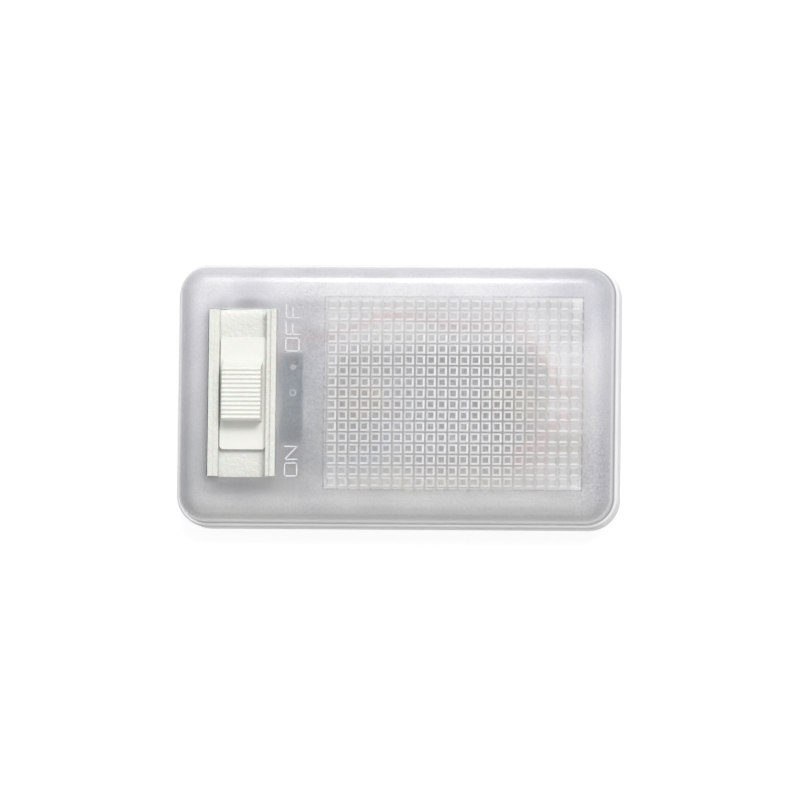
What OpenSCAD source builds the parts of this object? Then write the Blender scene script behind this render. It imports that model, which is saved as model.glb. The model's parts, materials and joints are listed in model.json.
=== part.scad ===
// Car dome light: a moulded base, a frosted prism lens and a three-position slide switch.
// It lies on its back: the mounting face is at Z = 0, +Z faces into the cabin, X is the long side.

/* [Base] */
// Length of the base
base_l = 120.4; // [116:0.1:132]
// Width of the base
base_w = 71.8; // [70:0.1:84]
// Height of the base's side wall
base_h = 9; // [8.6:0.1:12]
// Outer corner radius of the base
base_corner_r = 8.6; // [7:0.1:12]
// Thickness of the base's side wall
base_wall = 1.8; // [1.4:0.1:2.4]
// Thickness of the base's floor
floor_t = 1.8; // [1.4:0.1:2.4]
// Rounding of the base's upper outer edge
base_edge_r = 0.8; // [0.3:0.1:1]
// Thickness of the ledge that carries the lens
ledge_t = 1.6; // [1.2:0.1:2]
// Thickness of the upstand that locates the lens
upstand_t = 0.8; // [0.6:0.1:1.2]
// Height of that upstand over the ledge
upstand_h = 1.6; // [1:0.1:2.4]

/* [Lens] */
// Width of the base's rim left in view round the lens
lens_margin = 1.2; // [0.8:0.1:2]
// Height of the lens over the base
lens_h = 11; // [10:0.1:14]
// Thickness of the lens's side wall
lens_wall = 2; // [1.6:0.1:2.4]
// Thickness of the lens's face
lens_face_t = 1.8; // [1.6:0.1:2.2]
// Rounding of the lens's shoulder
lens_edge_r = 5.5; // [4:0.1:6]
// Chamfer of the lens's foot, which shows as the seam round it
foot_chamfer = 0.4; // [0.2:0.05:0.6]
// Draft of the lens's side wall in degrees
lens_draft = 2; // [0.5:0.1:4]
// Gap between the lens and the base's upstand
lens_seat_gap = 0.2; // [0.1:0.05:0.4]
// Width of each snap hook
hook_w = 9; // [6:0.5:12]
// Thickness of each snap hook's tongue
hook_t = 1.3; // [1:0.1:1.6]
// Distance of the snap hooks on each side of their middle
hook_spread = 41; // [30:1:44]

/* [Prism field] */
// Distance of the prism field from the base's left end
field_left = 41.9; // [41:0.1:46]
// Distance of the prism field from the base's right end
field_right = 9.5; // [8:0.1:14]
// Distance of the prism field from the base's long sides
field_side = 10.4; // [9.4:0.1:16]
// Pitch of the prisms
prism_pitch = 3; // [2.4:0.05:3.05]
// Width of each prism's flat top
prism_top = 1.4; // [1:0.05:1.6]
// Width of each groove's floor
groove_floor = 0.4; // [0.2:0.05:0.6]
// Depth of the grooves
prism_depth = 0.5; // [0.3:0.05:0.7]

/* [Switch window] */
// Distance of the switch's middle from the base's left end
switch_inset = 18.9; // [18.2:0.1:19.7]
// Width of the switch deck in the window
deck_w = 18.4; // [17.6:0.1:19]
// Distance of the deck's ends from the base's long sides
deck_side = 13.2; // [11:0.1:13.4]
// Gap between the deck and the lens's window
window_gap = 0.2; // [0.1:0.05:0.4]
// Thickness of the collar round the window
collar_t = 1.2; // [0.8:0.1:1.6]
// Depth of the collar under the lens's face
collar_depth = 4; // [3:0.1:6]
// Depth of the stepped panel in the lens's face
panel_depth = 0.35; // [0.2:0.05:0.6]
// Distance of the stepped panel's ends from the base's long sides
panel_side = 8.4; // [7.4:0.1:9.8]
// Width of the stepped panel
panel_w = 26.6; // [25:0.1:28]

/* [Switch frame] */
// Depth of the deck's top under the lens's face
deck_drop = 0.2; // [0.1:0.05:0.5]
// Width of the slider's channel
channel_w = 13; // [12.2:0.1:13.4]
// Depth of the channel under the deck's top
channel_depth = 3.8; // [3.4:0.1:4.2]
// Width of the step inside each rail
rail_step_w = 1.3; // [0.8:0.1:1.6]
// Depth of that step
rail_step_depth = 0.7; // [0.4:0.1:1]
// Thickness of the channel's floor
channel_floor_t = 1.2; // [1:0.1:1.6]
// Height of the frame's underside over the mounting face
frame_z = 8; // [7:0.1:8.4]
// Distance of the frame's screw ears from the base's long sides
frame_side = 5.9; // [5:0.1:6.4]
// Width of each screw ear
ear_w = 11; // [9:0.5:13]
// Thickness of each screw ear
ear_t = 2; // [1.6:0.1:2.6]

/* [Slider] */
// Travel of the slider to each side of its middle position
slide_travel = 7; // [5:0.1:7]
// Gap left between the cover plate and the deck's end when the slider is fully over
plate_end_gap = 0.45; // [0.2:0.05:0.5]
// Gap between the slider and the frame
slide_gap = 0.2; // [0.1:0.05:0.3]
// Thickness of the cover plate
plate_t = 1.2; // [0.9:0.1:1.6]
// Corner radius of the cover plate
plate_corner_r = 1.1; // [0.5:0.1:2]
// Width of the thumb block
thumb_w = 10.6; // [9:0.1:11.4]
// Distance of the thumb block's middle from the cover plate's, towards ON
thumb_shift = 0.4; // [0:0.1:1]
// Height of the thumb block over the cover plate
thumb_h = 4.8; // [3:0.1:6]
// Number of ribs on the thumb block
rib_count = 12; // [8:1:13]
// Pitch of the ribs
rib_pitch = 1.2; // [1:0.05:1.25]
// Depth of the grooves between the ribs
rib_depth = 0.5; // [0.3:0.05:0.7]
// Length of the ramp behind the thumb block
ramp_l = 2.2; // [1.5:0.1:4]
// Width of the slider's stem
stem_w = 6; // [4:0.1:7]
// Thickness of the slider's stem
stem_t = 2; // [1.4:0.1:2]
// Width of the carriage under the channel
carriage_w = 9; // [8.4:0.1:9.2]
// Length of the carriage under the channel
carriage_l = 12; // [10:0.1:12.4]

/* [Bulb] */
// Distance of the bulb's middle to the left of the prism field's middle
bulb_shift = 4.7; // [3.2:0.1:6.2]
// Place of the bulb's middle across the lamp
bulb_y = -1.3; // [-3:0.1:0]
// Height of the bulb's axis over the mounting face
bulb_z = 9.4; // [9.2:0.1:10]
// Distance of the bulb's ends from the reflector's ends
bulb_end_gap = 9; // [8.5:0.1:10]
// Outer radius of the bulb's glass
glass_r = 5.2; // [4.5:0.1:5.4]
// Length of each cap beyond the bulb's glass
cap_l = 6; // [5.5:0.1:7]
// Wall of the bulb's glass
glass_t = 0.6; // [0.4:0.1:0.8]
// Outer radius of each cap
cap_r = 3.9; // [3.6:0.1:4]
// Radius of the filament's coil
filament_r = 0.6; // [0.4:0.05:0.8]
// Radius of the filament's wire
filament_wire_r = 0.12; // [0.1:0.01:0.16]

/* [Reflector] */
// Gap between the reflector's end and the plug socket's wall
reflector_gap = 0.3; // [0.2:0.05:1]
// Width of the reflector over its flange
reflector_w = 29; // [27:0.5:30]
// Height of the reflector's flange over the mounting face
reflector_top = 11; // [10:0.1:12]
// Height of the reflector's floor over the mounting face
reflector_z = 3; // [2.8:0.1:3.2]
// Thickness of the reflector's sheet
reflector_t = 0.5; // [0.4:0.05:0.7]
// Corner radius of the reflector's flange
reflector_corner_r = 8; // [6.5:0.1:9]

/* [Contacts] */
// Thickness of the brass strip
brass_t = 0.6; // [0.5:0.05:0.8]
// Thickness of the contact board
board_t = 1.6; // [1.2:0.1:2]
// Width of each contact pad
pad_w = 2.6; // [2:0.1:3]
// Gap between the moving contact's dimples and the pads
touch_gap = 0.1; // [0.05:0.01:0.15]
// Width of each plug blade
blade_w = 2.8; // [2.4:0.1:3]
// Pitch of the plug blades
blade_pitch = 5.6; // [5:0.1:6]
// Distance of the plug socket's middle from the base's right end
socket_inset = 11.2; // [11:0.1:12]
// Thickness of the plug socket's walls
socket_wall = 1.4; // [1:0.1:1.6]
// Length of the plug socket along the blades' row
socket_l = 18; // [17:0.5:19]
// Width of the plug socket
socket_w = 12.6; // [12:0.1:13]
// Depth of the plug socket from the mounting face
socket_depth = 7; // [6:0.1:8]

/* [Fasteners and leads] */
// Radius of the mounting holes
mount_hole_r = 2.2; // [1.8:0.1:2.6]
// Distance of the left pair of mounting holes from the base's left end
mount_left = 40.2; // [39.5:0.1:41]
// Distance of the right pair of mounting holes from the base's right end
mount_right = 12.2; // [11.6:0.1:13]
// Spacing of the mounting holes across the lamp
mount_dy = 46; // [44:0.5:47]
// Height of the mounting bosses
mount_boss_h = 5.5; // [4.5:0.1:7]
// Radius of the leads
lead_r = 0.7; // [0.5:0.05:0.9]

/* [Hidden] */
$fn = 48;
eps = 0.01;

lens_corner_r = base_corner_r - lens_margin;
corner_x = base_l / 2 - base_corner_r;
corner_y = base_w / 2 - base_corner_r;
face_z = base_h + lens_h;
lens_foot_in = lens_corner_r - lens_wall;
upstand_out = lens_foot_in - lens_seat_gap;
upstand_in = upstand_out - upstand_t;
inner_z = face_z - lens_face_t;
hook_gap = 0.3;
nib_h = 2.2;
nib_reach = 1.2;
nib_gap = 0.2;
nib_ramp = 0.5;
hook_root = 0.8;
hook_haunch = 1.4;

prism_cols = floor((base_l - field_left - field_right) / prism_pitch + eps);
prism_rows = floor((base_w - 2 * field_side) / prism_pitch + eps);
prism_x = (field_left - field_right) / 2;
mark_h = 0.3;
dot_r = 0.8;
ring_r = 1;
ring_hole_r = 0.55;

switch_x = switch_inset - base_l / 2;
deck_l = base_w - 2 * deck_side;
panel_l = base_w - 2 * panel_side;
frame_l = base_w - 2 * frame_side;
plate_l = deck_l - 2 * (slide_travel + plate_end_gap);
deck_top = face_z - deck_drop;
channel_z = deck_top - channel_depth;
channel_under = channel_z - channel_floor_t;
plate_w = channel_w - 2 * slide_gap;
plate_z = channel_z + slide_gap;
plate_top = plate_z + plate_t;
thumb_l = rib_count * rib_pitch;
thumb_top = plate_top + thumb_h;
slot_l = 2 * slide_travel + stem_t + 2 * slide_gap;
slot_w = stem_w + 2 * slide_gap;
carriage_top = channel_under - slide_gap;
cavity_w = carriage_w + 4 * slide_gap;
cavity_l = carriage_l + 2 * slide_travel + 6 * slide_gap;
ear_inset = 3.4;
ear_y = frame_l / 2 - ear_inset;
ear_boss_r = 3.2;
ear_hole_r = 1.5;
screw_core_r = 1.05;
screw_head_r = 2.5;
screw_grip = 5.6;
pilot_gap = 0.05;

pad_top = frame_z + brass_t - 0.1;
pad_t = pad_top - frame_z;
pad_x = 2.6;
pad_half = 2.4;
dimple_h = 0.4;
mover_z = pad_top + touch_gap + dimple_h;
mover_t = 0.5;
mover_l = 8.2;
mover_w = 6;
carriage_z = mover_z + mover_t - 0.1;
pocket_r = 2.1;
pocket_top = carriage_z + 3.2;
board_z = frame_z - board_t;
board_w = 15;
board_l = 34;
board_rivet_y = board_l / 2 - 2;
tail_t = 0.5;
tail_l = 2.4;
tail_w = 1.6;
on_y = -slide_travel;
fixed_y = slide_travel + 3;
tail_y = 1.6;
dimple_r = 1;
board_rivet_r = 0.85;
board_rivet_head_r = 1.6;
board_rivet_head_t = 0.5;
board_rivet_grip = 2.5;

socket_x = base_l / 2 - socket_inset;
bulb_x = prism_x - bulb_shift;
reflector_l = 2 * (socket_x - socket_w / 2 - socket_wall - reflector_gap - bulb_x);
bulb_l = reflector_l - 2 * bulb_end_gap;
glass_l = bulb_l - 2 * cap_l;
neck_l = 2.4;
glass_shoulder_r = min(3, glass_l / 2 - neck_l - 0.3);
cone_l = 3;
cone_tip_r = 1.2;
coil_l = 0.31 * glass_l;

clip_x = bulb_l / 2 - 0.8;
clip_w = 8;
clip_hole_r = 2.3;
clip_foot = 7;
clip_seat_z = reflector_z + 0.8;
clip_rivet_x = clip_x + brass_t + clip_foot / 2 + 0.3;
rivet_r = 1.1;
rivet_head_r = 1.9;
rivet_head_t = 0.6;

socket_roof = socket_depth + socket_wall;
blade_t = 0.6;
blade_low = 1;
blade_tail = 3;

mount_dx = base_l - mount_left - mount_right;
mount_x = (mount_left - mount_right) / 2;
boss_left = mount_x - mount_dx / 2;
boss_right = mount_x + mount_dx / 2;
mount_boss_r = 5.2;
mount_seat_r = 4;
mount_seat_t = 2;
floor_rib_t = 1.2;
floor_rib_gap = 0.4;
floor_rib_dx = bulb_l / 2 - 8.5;

strip_x = switch_x + deck_w / 2 + window_gap + collar_t + 2.9;
strip_y = -1.2;
strip_w = 5.8;
strip_l = 24.5;
strip_t = 0.8;
strip_top = inner_z - 0.7;
strip_hole_y = strip_l / 2 - 2.6;
strip_screw_r = 0.85;
strip_screw_l = 5;
strip_head_r = 1.6;
strip_seat_l = 5.2;
strip_seat_edge = 0.4;

neck_r = cap_r - 0.6;
neck_over = 1.4;

// A flat rectangle with round corners
module rounded_rect(l, w, r)
{
    square([l - 2 * r, w], center = true);
    square([l, w - 2 * r], center = true);
    for (sx = [-1, 1])
        for (sy = [-1, 1])
            translate([sx * (l / 2 - r), sy * (w / 2 - r)])
                circle(r);
}

// Sweeps a profile round a rectangle: x in the profile runs outward from the corner's centre
module swept_ring(cx, cy)
{
    translate([cx, cy, 0]) rotate_extrude(angle = 90) children();
    translate([-cx, cy, 0]) rotate([0, 0, 90]) rotate_extrude(angle = 90) children();
    translate([-cx, -cy, 0]) rotate([0, 0, 180]) rotate_extrude(angle = 90) children();
    translate([cx, -cy, 0]) rotate([0, 0, 270]) rotate_extrude(angle = 90) children();
    translate([cx, cy, 0]) rotate([90, 0, 0]) linear_extrude(2 * cy) children();
    translate([-cx, cy, 0]) rotate([0, 0, 90]) rotate([90, 0, 0]) linear_extrude(2 * cx) children();
    translate([-cx, -cy, 0]) rotate([0, 0, 180]) rotate([90, 0, 0]) linear_extrude(2 * cy) children();
    translate([cx, -cy, 0]) rotate([0, 0, 270]) rotate([90, 0, 0]) linear_extrude(2 * cx) children();
}

// Half section of a block with a drafted wall and a round shoulder, from the corner's centre outward
module shoulder_profile(r_wall, z_low, z_high, r_edge, draft, chamfer)
{
    mid_z = z_high - r_edge;
    mid_x = r_wall - (mid_z - z_low) * tan(draft) - r_edge / cos(draft);
    polygon([
        [0, z_low],
        [r_wall - chamfer, z_low],
        [r_wall - chamfer * tan(draft), z_low + chamfer],
        [mid_x + r_edge * cos(draft), mid_z + r_edge * sin(draft)],
        [mid_x, mid_z],
        [mid_x, z_high],
        [0, z_high]
    ]);
    intersection() {
        translate([mid_x, mid_z]) circle(r_edge);
        translate([mid_x, mid_z]) square(2 * r_edge);
    }
}

// A solid block with that section all round
module shoulder_block(cx, cy, r_wall, z_low, z_high, r_edge, draft, chamfer)
{
    swept_ring(cx, cy) shoulder_profile(r_wall, z_low, z_high, r_edge, draft, chamfer);
    translate([-cx, -cy, z_low]) cube([2 * cx, 2 * cy, z_high - z_low]);
}

function lerp(a, b, t) = a + (b - a) * t;
// A point on the smooth curve through four route points
function spline(p, q, r, s, t) =
    0.5 * (2 * q + (r - p) * t + (2 * p - 5 * q + 4 * r - s) * t * t
           + (3 * q - p - 3 * r + s) * t * t * t);
function route_point(pts, i) = pts[max(0, min(len(pts) - 1, i))];
// The route's points with two more between each pair
function smooth_route(pts, steps = 3) = concat(
    [for (i = [0 : len(pts) - 2])
        for (k = [0 : steps - 1])
            spline(route_point(pts, i - 1), pts[i], pts[i + 1], route_point(pts, i + 2), k / steps)],
    [pts[len(pts) - 1]]);
function unit(v) = v / norm(v);
function tangent(pts, i) = unit(route_point(pts, i + 1) - route_point(pts, i - 1));
// Sideways direction of each ring, carried along the route so that the tube never twists
function carry(side, dir) = unit(side - (side * dir) * dir);
function sides(pts, i = 0, side = [0.31, 0.17, 0.94], list = []) =
    i >= len(pts) ? list
    : let (next = carry(side, tangent(pts, i))) sides(pts, i + 1, next, concat(list, [next]));

// A round wire along a list of points
module wire(pts, r, n = 8)
{
    side = sides(pts);
    rings = [for (i = [0 : len(pts) - 1])
        for (k = [0 : n - 1])
            pts[i] + r * (cos(360 * k / n) * side[i]
                          + sin(360 * k / n) * cross(tangent(pts, i), side[i]))];
    last = (len(pts) - 1) * n;
    polyhedron(rings, concat(
        [[for (k = [0 : n - 1]) n - 1 - k]],
        [[for (k = [0 : n - 1]) last + k]],
        [for (i = [0 : len(pts) - 2])
            for (k = [0 : n - 1])
                [i * n + k, i * n + (k + 1) % n, (i + 1) * n + (k + 1) % n, (i + 1) * n + k]]));
}

// A tongue with a nib that springs under the base's ledge: one snap hook
module snap_hook()
{
    foot = corner_y + lens_foot_in;
    tongue_out = corner_y + upstand_in - hook_gap;
    tongue_in = tongue_out - hook_t;
    nib_top = base_h - ledge_t - nib_gap;
    root_z = base_h + upstand_h + hook_root;
    translate([-hook_w / 2, 0, 0])
        rotate([90, 0, 90])
            linear_extrude(hook_w)
                polygon([
                    [tongue_in, inner_z],
                    [tongue_in, nib_top - nib_h],
                    [tongue_out - 0.4, nib_top - nib_h],
                    [tongue_out + nib_reach, nib_top - nib_ramp],
                    [tongue_out + nib_reach, nib_top],
                    [tongue_out, nib_top],
                    [tongue_out, root_z],
                    [foot, root_z + 1.2],
                    [foot, inner_z - hook_haunch],
                    [foot - hook_haunch, inner_z]
                ]);
}

// V grooves between the prisms, as long as the field
module prism_grooves(count, length)
{
    half = (prism_pitch - prism_top) / 2;
    for (i = [0 : count])
        translate([0, (i - count / 2) * prism_pitch, face_z])
            rotate([90, 0, 90])
                linear_extrude(length, center = true)
                    polygon([
                        [-half, eps],
                        [-groove_floor / 2, -prism_depth],
                        [groove_floor / 2, -prism_depth],
                        [half, eps]
                    ]);
}

module lens()
{
    window_l = deck_l + 2 * window_gap;
    window_w = deck_w + 2 * window_gap;
    panel_x = switch_x + (panel_w - window_w) / 2 - 0.4;
    field_l = prism_cols * prism_pitch;
    field_w = prism_rows * prism_pitch;
    groove_over = (prism_pitch - prism_top);
    color([0.86, 0.87, 0.9])
    difference() {
        union() {
            difference() {
                shoulder_block(corner_x, corner_y, lens_corner_r, base_h, face_z, lens_edge_r,
                               lens_draft, foot_chamfer);
                shoulder_block(corner_x, corner_y, lens_foot_in, base_h - eps, inner_z,
                               lens_edge_r - lens_wall + 0.4, lens_draft, eps);
            }
            translate([switch_x, 0, inner_z - collar_depth + lens_face_t])
                linear_extrude(collar_depth - lens_face_t + eps)
                    rounded_rect(window_w + 2 * collar_t, window_l + 2 * collar_t, 1);
            for (sx = [-1, 1])
                for (turn = [0, 180])
                    translate([prism_x + sx * hook_spread / 2, 0, 0])
                        rotate([0, 0, turn])
                            snap_hook();
        }
        translate([switch_x, 0, face_z - 2 * collar_depth])
            linear_extrude(3 * collar_depth)
                rounded_rect(window_w, window_l, 0.6);
        translate([panel_x, 0, face_z - panel_depth])
            linear_extrude(1)
                rounded_rect(panel_w, panel_l, 1.5);
        translate([prism_x, 0, 0]) prism_grooves(prism_rows, field_l + groove_over);
        translate([prism_x, 0, 0]) rotate([0, 0, 90]) prism_grooves(prism_cols, field_w + groove_over);
    }
    color([0.95, 0.95, 0.97])
    translate([strip_x + 0.4, 0, face_z - panel_depth]) {
        translate([0, slide_travel, 0]) cylinder(h = mark_h, r = dot_r);
        difference() {
            cylinder(h = mark_h, r = ring_r);
            translate([0, 0, -1]) cylinder(h = 2, r = ring_hole_r);
        }
    }
}

// The base's wall, ledge and upstand in section, from the corner's centre outward
module rim_profile()
{
    wall_in = base_corner_r - base_wall;
    polygon([
        [wall_in, 0],
        [base_corner_r, 0],
        [base_corner_r, base_h - base_edge_r],
        [base_corner_r - base_edge_r, base_h - base_edge_r],
        [base_corner_r - base_edge_r, base_h],
        [upstand_out, base_h],
        [upstand_out, base_h + upstand_h],
        [upstand_in, base_h + upstand_h],
        [upstand_in, base_h - ledge_t],
        [wall_in, base_h - ledge_t]
    ]);
    intersection() {
        translate([base_corner_r - base_edge_r, base_h - base_edge_r]) circle(base_edge_r);
        translate([base_corner_r - base_edge_r, base_h - base_edge_r]) square(2 * base_edge_r);
    }
}

module at_mounts()
{
    for (sx = [-1, 1])
        for (sy = [-1, 1])
            translate([mount_x + sx * mount_dx / 2, sy * mount_dy / 2, 0])
                children();
}

module at_clips()
{
    for (turn = [0, 180])
        translate([bulb_x, bulb_y, 0]) rotate([0, 0, turn]) children();
}

// A cross rib on the floor, from one side wall to the other
module cross_rib(x, h)
{
    rib_l = base_w - 2 * (base_wall + floor_rib_gap);
    translate([x - floor_rib_t / 2, -rib_l / 2, floor_t - eps]) cube([floor_rib_t, rib_l, h - floor_t]);
}

module base()
{
    color([0.93, 0.93, 0.92])
    difference() {
        union() {
            swept_ring(corner_x, corner_y) rim_profile();
            linear_extrude(floor_t)
                rounded_rect(base_l - 2 * base_wall + 2 * eps, base_w - 2 * base_wall + 2 * eps,
                             base_corner_r - base_wall + eps);
            at_mounts() cylinder(h = mount_boss_h, r = mount_boss_r);
            for (sy = [-1, 1])
                translate([switch_x, sy * ear_y, 0]) cylinder(h = frame_z, r = ear_boss_r);
            for (i = [-1, 0, 1])
                cross_rib(bulb_x + i * floor_rib_dx, reflector_z);
            at_clips()
                translate([clip_x + brass_t - 0.6, -clip_w / 2, floor_t - eps])
                    cube([clip_foot + 1.2, clip_w, clip_seat_z - floor_t]);
            translate([socket_x - socket_w / 2 - socket_wall, -socket_l / 2 - socket_wall, 0])
                cube([socket_w + 2 * socket_wall, socket_l + 2 * socket_wall, socket_roof]);
            for (sy = [-1, 1])
                translate([strip_x - strip_w / 2 - strip_seat_edge,
                           strip_y + sy * strip_hole_y - strip_seat_l / 2, 0])
                    cube([strip_w + 2 * strip_seat_edge, strip_seat_l, frame_z]);
        }
        at_mounts() {
            translate([0, 0, -1]) cylinder(h = 20, r = mount_hole_r);
            translate([0, 0, mount_boss_h - mount_seat_t]) cylinder(h = 20, r = mount_seat_r);
        }
        for (sy = [-1, 1])
            translate([switch_x, sy * ear_y, floor_t])
                cylinder(h = 20, r = screw_core_r + pilot_gap);
        for (sy = [-1, 1])
            translate([strip_x, strip_y + sy * strip_hole_y, floor_t])
                cylinder(h = 20, r = strip_screw_r + pilot_gap);
        at_clips() {
            translate([clip_rivet_x, 0, -1]) cylinder(h = 20, r = rivet_r);
            translate([clip_rivet_x, 0, -1]) cylinder(h = 1 + rivet_head_t + 0.2, r = rivet_head_r + 0.2);
        }
        translate([socket_x - socket_w / 2, -socket_l / 2, -1]) cube([socket_w, socket_l, socket_depth + 1]);
        for (i = [-1, 0, 1])
            translate([socket_x - blade_t / 2 - 0.05, i * blade_pitch - blade_w / 2 - 0.05, 0])
                cube([blade_t + 0.1, blade_w + 0.1, 20]);
    }
}

// Section of the reflector's flared wall and flange, from the corner's centre outward
module flare_profile()
{
    low = 3.4;
    high = reflector_corner_r - 1;
    polygon([
        [0, reflector_z],
        [low, reflector_z],
        [high, reflector_top - reflector_t],
        [reflector_corner_r, reflector_top - reflector_t],
        [reflector_corner_r, reflector_top],
        [high - reflector_t * 0.6, reflector_top],
        [low - reflector_t * 0.6, reflector_z + reflector_t],
        [0, reflector_z + reflector_t]
    ]);
}

module reflector()
{
    cx = reflector_l / 2 - reflector_corner_r;
    cy = reflector_w / 2 - reflector_corner_r;
    color([0.72, 0.73, 0.75])
    difference() {
        translate([bulb_x, bulb_y, 0]) {
            swept_ring(cx, cy) flare_profile();
            translate([-cx, -cy, reflector_z]) cube([2 * cx, 2 * cy, reflector_t]);
        }
        at_clips()
            translate([clip_x - 2, -clip_w / 2 - 1.2, 0])
                cube([20, clip_w + 2.4, clip_seat_z + brass_t + 2.6]);
    }
}

// Half section of the bulb's glass, grown inward by a wall
module glass_profile(wall)
{
    r = glass_r - wall;
    half = glass_l / 2 - neck_l - glass_shoulder_r;
    shoulder_r = glass_shoulder_r - wall / 2;
    union() {
        square([r, half]);
        intersection() {
            translate([r - shoulder_r, half]) circle(shoulder_r);
            square([r, glass_l]);
        }
        square([r - shoulder_r, half + shoulder_r]);
        square([neck_r - wall, glass_l / 2 + (wall > 0 ? -wall : neck_over)]);
    }
}

module bulb_glass()
{
    color([0.9, 0.95, 1, 0.4])
    translate([bulb_x, bulb_y, bulb_z])
        rotate([0, 90, 0])
            for (flip = [0, 1])
                mirror([0, 0, flip])
                    rotate_extrude()
                        difference() {
                            glass_profile(0);
                            translate([0, -eps]) glass_profile(glass_t);
                        }
}

// A brass cap: a sleeve over the neck and a cone that the clip holds
module bulb_cap()
{
    color([0.78, 0.68, 0.42])
    rotate([0, 90, 0])
        translate([0, 0, glass_l / 2])
            difference() {
                union() {
                    cylinder(h = cap_l - cone_l, r = cap_r);
                    translate([0, 0, cap_l - cone_l])
                        cylinder(h = cone_l, r1 = cap_r - 0.2, r2 = cone_tip_r);
                }
                translate([0, 0, -eps]) cylinder(h = neck_over + 0.1, r = neck_r + 0.05);
            }
}

module bulb_cap_left() { translate([bulb_x, bulb_y, bulb_z]) rotate([0, 0, 180]) bulb_cap(); }
module bulb_cap_right() { translate([bulb_x, bulb_y, bulb_z]) bulb_cap(); }

module bulb_filament()
{
    turns = 9;
    per_turn = 8;
    leg = glass_l / 2 - glass_t - 0.05;
    straight = lerp(coil_l / 2, leg, 0.25);
    coil = [for (i = [0 : turns * per_turn])
        let (a = 360 * i / per_turn)
            [coil_l * (i / (turns * per_turn) - 0.5), filament_r * sin(a), filament_r * cos(a)]];
    color([0.55, 0.55, 0.57])
    translate([bulb_x, bulb_y, bulb_z])
        wire(concat([[-leg, 0, 0], [-straight, 0, 0]], coil, [[straight, 0, 0], [leg, 0, 0]]),
             filament_wire_r, 6);
}

// A stamped brass clip: riveted foot, upright with a hole for the bulb's cone, and a flared lip
module bulb_clip()
{
    top = bulb_z + 3.4;
    color([0.8, 0.68, 0.36])
    difference() {
        translate([clip_x, clip_w / 2, 0])
            rotate([90, 0, 0])
                linear_extrude(clip_w)
                    polygon([
                        [0, clip_seat_z],
                        [brass_t + clip_foot, clip_seat_z],
                        [brass_t + clip_foot, clip_seat_z + brass_t],
                        [brass_t, clip_seat_z + brass_t],
                        [brass_t, top],
                        [brass_t + 1.6, top + 1.6],
                        [brass_t + 1.2, top + 2],
                        [0, top + 0.4]
                    ]);
        translate([clip_x - 1, 0, bulb_z]) rotate([0, 90, 0]) cylinder(h = 4, r = clip_hole_r);
        translate([clip_rivet_x, 0, 0]) cylinder(h = clip_seat_z + 2, r = rivet_r);
    }
}

module bulb_clip_left() { translate([bulb_x, bulb_y, 0]) rotate([0, 0, 180]) bulb_clip(); }
module bulb_clip_right() { translate([bulb_x, bulb_y, 0]) bulb_clip(); }

// A tubular rivet with its made head in the back of the base
module tube_rivet(z_low, z_high, r, head_r, head_t)
{
    difference() {
        union() {
            translate([0, 0, z_low]) cylinder(h = z_high - z_low + head_t, r = r);
            translate([0, 0, z_high]) cylinder(h = head_t, r = head_r);
            translate([0, 0, z_low]) cylinder(h = head_t, r = head_r);
        }
        translate([0, 0, z_low - 1]) cylinder(h = z_high - z_low + 4, r = r * 0.5);
    }
}

module clip_rivets()
{
    color([0.82, 0.74, 0.5])
    at_clips()
        translate([clip_rivet_x, 0, 0])
            tube_rivet(0.2, clip_seat_z + brass_t, rivet_r - 0.05, rivet_head_r, rivet_head_t);
}

module switch_frame()
{
    color([0.93, 0.93, 0.88])
    translate([switch_x, 0, 0])
    difference() {
        union() {
            translate([-deck_w / 2, -deck_l / 2, frame_z]) cube([deck_w, deck_l, deck_top - frame_z]);
            translate([-ear_w / 2, -frame_l / 2, frame_z]) cube([ear_w, frame_l, ear_t]);
        }
        translate([-channel_w / 2, -deck_l, channel_z]) cube([channel_w, 2 * deck_l, 20]);
        translate([-channel_w / 2 - rail_step_w, -deck_l, deck_top - rail_step_depth])
            cube([channel_w + 2 * rail_step_w, 2 * deck_l, 20]);
        translate([-slot_w / 2, -slot_l / 2, frame_z]) cube([slot_w, slot_l, 20]);
        translate([-cavity_w / 2, -cavity_l / 2, frame_z - 1])
            cube([cavity_w, cavity_l, channel_under - frame_z + 1]);
        for (sy = [-1, 1])
            translate([0, sy * ear_y, 0]) cylinder(h = 40, r = ear_hole_r);
        for (sy = [-1, 1])
            translate([0, sy * board_rivet_y, frame_z - 1])
                cylinder(h = board_rivet_grip + 2.5, r = board_rivet_r + pilot_gap);
    }
}

// Profile of the thumb block from the side: ribbed top, upright front, ramp behind
module thumb_profile()
{
    half = thumb_l / 2;
    polygon(concat(
        [[-half, plate_top - eps]],
        [for (i = [0 : rib_count - 1])
            for (p = [[0.12, rib_depth], [0.34, 0.12], [0.5, 0], [0.66, 0.12], [0.88, rib_depth]])
                [-half + (i + p[0]) * rib_pitch, thumb_top - p[1]]],
        [[half, thumb_top - rib_depth], [half + ramp_l, plate_top - eps]]));
}

module switch_slider()
{
    color([0.95, 0.95, 0.9])
    translate([switch_x, 0, 0])
    union() {
        translate([0, 0, plate_z])
            linear_extrude(plate_t)
                rounded_rect(plate_w, plate_l, plate_corner_r);
        translate([-thumb_w / 2, -thumb_shift, 0])
            rotate([90, 0, 90])
                linear_extrude(thumb_w)
                    thumb_profile();
        translate([-stem_w / 2, -stem_t / 2, carriage_top - 1.4])
            cube([stem_w, stem_t, plate_z - carriage_top + 1.4 + eps]);
    }
}

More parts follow.
